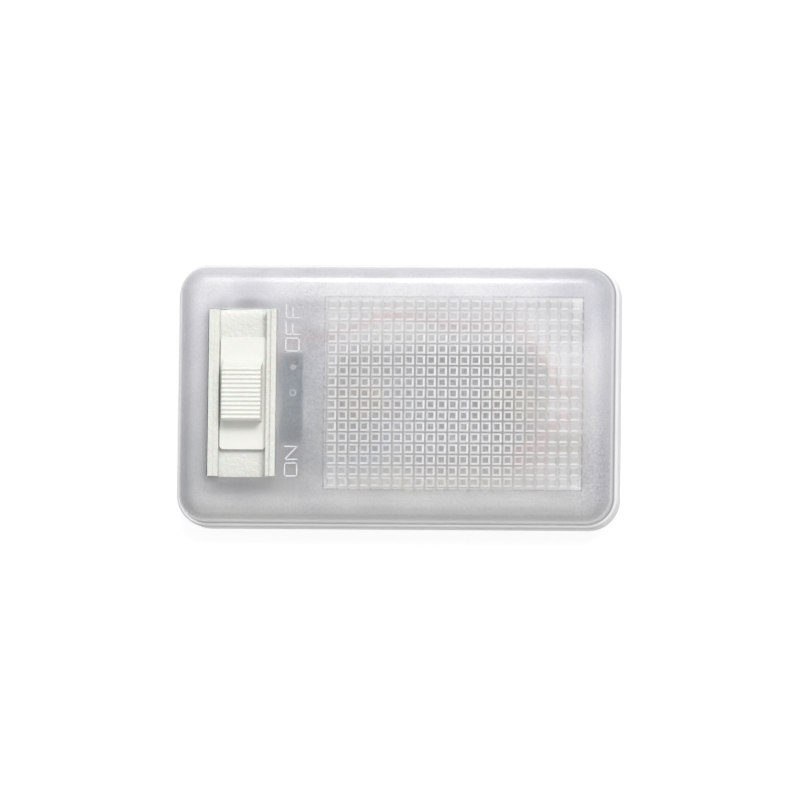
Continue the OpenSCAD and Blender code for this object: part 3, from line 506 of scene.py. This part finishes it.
def over_strip(tree, x, y):
    """1 on the lens over the strip, short of the strip's rear end."""
    middle = (STRIP_X, (STRIP_LOW.y + STRIP_HIGH.y - STRIP_END) / 2)
    half = ((STRIP_HIGH.x - STRIP_LOW.x) / 2, (STRIP_HIGH.y - STRIP_LOW.y - STRIP_END) / 2)
    return oblong(tree, x, y, middle, half, STRIP_SOFT)


def prism_field(tree, place):
    """1 in the field of prisms and 0 on the rest of the lens."""
    x, y, z = place
    reaches = ((off_centre(tree, x, FIELD_X), FIELD_HALF_L),
               (math_node(tree, "ABSOLUTE", y), FIELD_HALF_W))
    inside = smaller(tree, *(between(tree, away, reach, reach + FIELD_SOFT, 1.0, 0.0)
                             for away, reach in reaches))
    return smaller(tree, inside, between(tree, z, *FIELD_Z))


def pale_borders(tree, x, y):
    """How pale the prisms are painted, standing in for the brighter light seen through them, from
    0 in the middle to 1 at the field's borders.
    """
    to_right = between(tree, x, *PALE_TO_RIGHT)
    to_rear = between(tree, y, *PALE_TO_REAR)
    to_left = between(tree, x, *PALE_TO_LEFT, PALE_LEFT, 0.0)
    to_front = between(tree, y, *PALE_TO_FRONT, 1.0, 0.0)
    across = plus(tree, to_right, to_rear)
    return smaller(tree, plus(tree, plus(tree, across, to_left), to_front), 1.0)


def prism_colour(tree, coords, place, lean):
    """Painted light and shade on the prisms: dark grooves, white lit slopes with shaded rear and
    side slopes, grey tops, and how milky the slopes are.
    """
    x, y, z = place
    depth = between(tree, z, FACE_Z - PRISM_DEPTH, FACE_Z)
    slope, top = between(tree, depth, *SLOPE_STARTS), between(tree, depth, *SLOPE_ENDS)
    front = between(tree, lean[1], *FRONT_TURN, 1.0, 0.0)
    pale = pale_borders(tree, x, y)

    blotches = ramp(tree, noise(tree, coords, TOP_BLOTCH_MM, 1.0), 0.38, 0.6, TOP_BLOTCH, WHITE)
    dark_top = mix(tree, 1.0, blotches, TOP_SHADE, "MULTIPLY")
    # Painted shade in the grooves and on the tops, painted light on the slopes, and painted shade
    # on slopes facing rear and sideways
    strong = mix(tree, top, mix(tree, slope, GROOVE_SHADE, LIT_SLOPE), dark_top)
    strong = tinted(tree, between(tree, lean[1], *SLOPE_TURN), strong, REAR_SLOPE_SHADE)
    sideways = math_node(tree, "ABSOLUTE", lean[0])
    strong = tinted(tree, between(tree, sideways, *SLOPE_TURN), strong, SIDE_SLOPE_SHADE)
    # Painted highlight on the front slopes
    pale_slope = mix(tree, front, PALE_SLOPE, PALE_FRONT_HIGHLIGHT)
    faint = mix(tree, top, mix(tree, slope, PALE_GROOVE, pale_slope), PALE_TOP)

    fading = times(tree, pale, minus(tree, 1.0, front))
    milk = times(tree, minus(tree, slope, top), spread(tree, fading, 1.0, PALE_SLOPE_MILK))
    return mix(tree, pale, strong, faint), milk


def frosted_lens(name):
    """The lens's frosted plastic: grainy margins with painted shadows and shade, and prisms with
    clear tops and a painted light on their white slopes.
    """
    material, tree, shader, coords = new_material(name)
    place = axes(tree, coords)
    x, y, z = place
    lean = axes(tree, tree.nodes.new("ShaderNodeNewGeometry").outputs["True Normal"])
    grain = noise(tree, coords, GRAIN_MM, 2.0, 0.6)
    field = prism_field(tree, place)
    strip = over_strip(tree, x, y)
    marks = times(tree, strip, between(tree, z, *MARK_Z))

    margin = mix(tree, marks, margin_colour(tree, coords, place, lean, grain), MARK)
    prisms, slope_milk = prism_colour(tree, coords, place, lean)
    tree.links.new(mix(tree, field, margin, prisms), shader.inputs["Base Color"])

    clear = spread(tree, milky_rim(tree, x, y), CLEAR, MILKY)
    clear = minus(tree, clear, times(tree, times(tree, slope_milk, field), CLEAR - SLOPE_CLEAR))
    clear = plus(tree, clear, times(tree, strip, PANEL_CLEAR - CLEAR))
    clear = times(tree, clear, spread(tree, marks, 1.0, MARK_CLEAR))
    tree.links.new(clear, shader.inputs["Transmission Weight"])
    shader.inputs["IOR"].default_value = 1.45
    tree.links.new(spread(tree, grain, 0.42, 0.56), shader.inputs["Roughness"])
    shader.inputs["Coat Weight"].default_value = 1.0
    shader.inputs["Coat Roughness"].default_value = 0.2
    shader.inputs["Coat IOR"].default_value = 1.6
    bump(tree, shader, grain, 0.03, 0.6)
    let_lamps_through(tree, shader, LENS_PASSES)
    return material


# Each material slot's maker, the material's name, and its colour and other values
FINISHES = {
    "white_housing": (white_housing, "white housing"),
    "frosted_lens": (frosted_lens, "frosted lens"),
    "reflector_metal": (sheet_metal, "reflector sheet", (0.62, 0.63, 0.65), 0.35),
    "bulb_glass": (clear_glass, "bulb glass"),
    "bulb_caps": (sheet_metal, "bulb caps", (0.74, 0.64, 0.4), 0.28),
    "filament_wire": (sheet_metal, "filament wire", (0.4, 0.4, 0.42), 0.4),
    "contact_brass": (sheet_metal, "contact brass", (0.76, 0.62, 0.32), 0.3),
    "rivet_brass": (sheet_metal, "rivet brass", (0.78, 0.68, 0.42), 0.3),
    "cream_frame": (moulded_plastic, "cream frame", (0.75, 0.755, 0.715),
                    0.4, 1.2, 0.4, 0.03, 0.2),
    "cream_slider": (moulded_plastic, "cream slider", (0.8, 0.805, 0.762),
                     0.42, 0.7, 0.03, 0.02, 0.1),
    "dark_carriage": (moulded_plastic, "dark carriage", (0.2, 0.21, 0.22), 0.45, 0.4, 0.01),
    "spring_steel": (sheet_metal, "spring steel", (0.5, 0.5, 0.52), 0.3),
    "brown_board": (moulded_plastic, "phenolic board", (0.4, 0.26, 0.15), 0.5, 0.3, 0.02, 0.15),
    "plated_steel": (sheet_metal, "plated steel", (0.62, 0.63, 0.65), 0.32),
    "blue_plated_strip": (sheet_metal, "blue plated strip", (0.25, 0.35, 0.41), 0.4),
    "blade_tin": (sheet_metal, "tinned blades", (0.66, 0.67, 0.69), 0.3),
    "red_lead": (sleeve, "red sleeve", (0.62, 0.2, 0.18)),
    "blue_lead": (sleeve, "blue sleeve", (0.1, 0.22, 0.55)),
    "yellow_lead": (sleeve, "yellow sleeve", (0.78, 0.68, 0.34)),
}


def dress_nodes():
    """Gives every CAD node the finish of its material slot."""
    made = {}
    for part in frame["record"]["subparts"]:
        slot = part["material_slot"]
        if slot not in made:
            maker, *values = FINISHES[slot]
            made[slot] = maker(*values)
        node = NODES[part["node"]]
        node.data.materials.clear()
        node.data.materials.append(made[slot])


# Raised lettering beside the switch

def deselect():
    """Leaves edit mode and selects nothing."""
    if bpy.context.object and bpy.context.object.mode != "OBJECT":
        bpy.ops.object.mode_set(mode="OBJECT")
    bpy.ops.object.select_all(action="DESELECT")


def letter_stroke(start, end):
    """A raised bar on the panel, with softened edges, from start to end."""
    deselect()
    bpy.ops.mesh.primitive_cube_add(size=1)
    bar = bpy.context.object
    run = end - start
    bar.scale = (run.length + STROKE, STROKE, RAISE)
    bar.rotation_euler = (0, 0, math.atan2(run.y, run.x))
    bar.location = ((start.x + end.x) / 2, (start.y + end.y) / 2, PANEL_Z + RAISE / 2 - SINK)
    bpy.ops.object.transform_apply(location=True, rotation=True, scale=True)
    rounding = bar.modifiers.new("round", "BEVEL")
    rounding.width = STROKE_ROUND
    rounding.segments = 2
    bpy.ops.object.modifier_apply(modifier=rounding.name)
    return bar


def raised_word(name, word, first, letter_h, step_back, material):
    """A word that reads towards +Y with the tops of its letters towards -X."""
    top_x = STRIP_X - step_back
    bars = []
    for i, letter in enumerate(word):
        low = first + i * (LETTER_L + LETTER_GAP)
        for x0, y0, x1, y1 in LETTERS[letter]:
            start = Vector((top_x + (1 - y0) * letter_h, low + x0 * LETTER_L))
            end = Vector((top_x + (1 - y1) * letter_h, low + x1 * LETTER_L))
            bars.append(letter_stroke(start, end))
    deselect()
    for bar in bars:
        bar.select_set(True)
    bpy.context.view_layer.objects.active = bars[0]
    bpy.ops.object.join()
    piece = bpy.context.object
    piece.name = name
    piece.data.materials.append(material)
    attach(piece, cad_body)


# Studio

def floor_finish():
    """Shows as white to the camera, in gloss and through glass, and keeps the lamp's shadow."""
    material = bpy.data.materials.new("studio floor")
    material.use_nodes = True
    tree = material.node_tree
    tree.nodes.clear()
    output = tree.nodes.new("ShaderNodeOutputMaterial")
    diffuse = tree.nodes.new("ShaderNodeBsdfDiffuse")
    diffuse.inputs["Color"].default_value = (*FLOOR_GREY, 1)
    glow = tree.nodes.new("ShaderNodeEmission")
    glow.inputs["Color"].default_value = (*WHITE, 1)
    rays = tree.nodes.new("ShaderNodeLightPath").outputs
    seen = larger(tree, rays["Is Camera Ray"], rays["Is Glossy Ray"])
    seen = larger(tree, seen, rays["Is Transmission Ray"])
    tree.links.new(times(tree, seen, FLOOR_GLOW), glow.inputs["Strength"])
    white = tree.nodes.new("ShaderNodeAddShader")
    tree.links.new(diffuse.outputs["BSDF"], white.inputs[0])
    tree.links.new(glow.outputs["Emission"], white.inputs[1])

    # Seen from below the floor isn't there, and it leaves the underside its light
    near = math_node(tree, "LESS_THAN", rays["Ray Length"], 1 * MM)
    lighting = larger(tree, rays["Is Diffuse Ray"], rays["Is Shadow Ray"])
    behind = tree.nodes.new("ShaderNodeNewGeometry").outputs["Backfacing"]
    absent = larger(tree, behind, times(tree, near, lighting))
    through = tree.nodes.new("ShaderNodeBsdfTransparent")
    both = mixed_shader(tree, absent, white.outputs["Shader"], through.outputs["BSDF"])
    tree.links.new(both, output.inputs["Surface"])
    return material


def studio_floor():
    """A wide floor just under the lamp."""
    deselect()
    bpy.ops.mesh.primitive_plane_add(size=FLOOR_SIZE)
    floor = bpy.context.object
    floor.name = "studio_floor"
    floor.location.z = BASE_LOW.z - FLOOR_GAP
    bpy.ops.object.transform_apply(location=True)
    floor.data.materials.append(floor_finish())


def studio_world():
    """Soft light from all round, behind which the camera sees plain white."""
    world = bpy.data.worlds.new("studio")
    bpy.context.scene.world = world
    world.use_nodes = True
    tree = world.node_tree
    background = tree.nodes["Background"]
    background.inputs["Color"].default_value = (*WHITE, 1)
    seen = tree.nodes.new("ShaderNodeLightPath").outputs["Is Camera Ray"]
    tree.links.new(spread(tree, seen, WORLD_LIGHT, WORLD_SEEN), background.inputs["Strength"])


def area_lamp(name, place, width, height, power):
    """A softbox that faces the lamp's middle."""
    light = bpy.data.lights.new(name, "AREA")
    light.shape = "RECTANGLE"
    light.size = width
    light.size_y = height
    light.energy = power
    lamp = bpy.data.objects.new(name, light)
    bpy.context.scene.collection.objects.link(lamp)
    lamp.location = place
    aim = Vector(LAMPS_AIM) - Vector(place)
    lamp.rotation_euler = aim.to_track_quat("-Z", "Y").to_euler()
    return lamp


def studio_lamps():
    """The key lamp stays out of reflections, so only the narrow softbox shows on the shoulder."""
    lamps = {name: area_lamp(name, *values) for name, values in LAMPS.items()}
    lamps["key_softbox"].visible_glossy = False


def camera_frame():
    """The photograph's camera: a little below and to the right of square on, turned slightly."""
    position = CAMERA_DISTANCE * Vector((
        math.sin(CAMERA_RIGHT),
        -math.sin(CAMERA_DOWN) * math.cos(CAMERA_RIGHT),
        math.cos(CAMERA_DOWN) * math.cos(CAMERA_RIGHT)))
    forward = -position.normalized()
    level = forward.cross(Vector((0, 1, 0))).normalized()
    upright = level.cross(forward)
    right = math.cos(CAMERA_ROLL) * level + math.sin(CAMERA_ROLL) * upright
    up = -math.sin(CAMERA_ROLL) * level + math.cos(CAMERA_ROLL) * upright
    data = bpy.data.cameras.new("photo_camera")
    data.sensor_width = SENSOR
    data.lens = PIXELS_PER_MM / MM * CAMERA_DISTANCE / IMAGE_SIZE * SENSOR
    data.shift_x = -SHIFT_PX[0] / IMAGE_SIZE
    data.shift_y = -SHIFT_PX[1] / IMAGE_SIZE
    data.clip_start = CAMERA_NEAR
    camera = bpy.data.objects.new("photo_camera", data)
    bpy.context.scene.collection.objects.link(camera)
    camera.matrix_world = Matrix((
        (right.x, up.x, -forward.x, position.x),
        (right.y, up.y, -forward.y, position.y),
        (right.z, up.z, -forward.z, position.z),
        (0, 0, 0, 1)))
    bpy.context.scene.camera = camera


camera_frame()
dress_nodes()
letters = letter_finish()
for word in WORDS:
    raised_word(*word, letters)
studio_floor()
studio_world()
studio_lamps()
bpy.context.scene.view_settings.view_transform = "Standard"
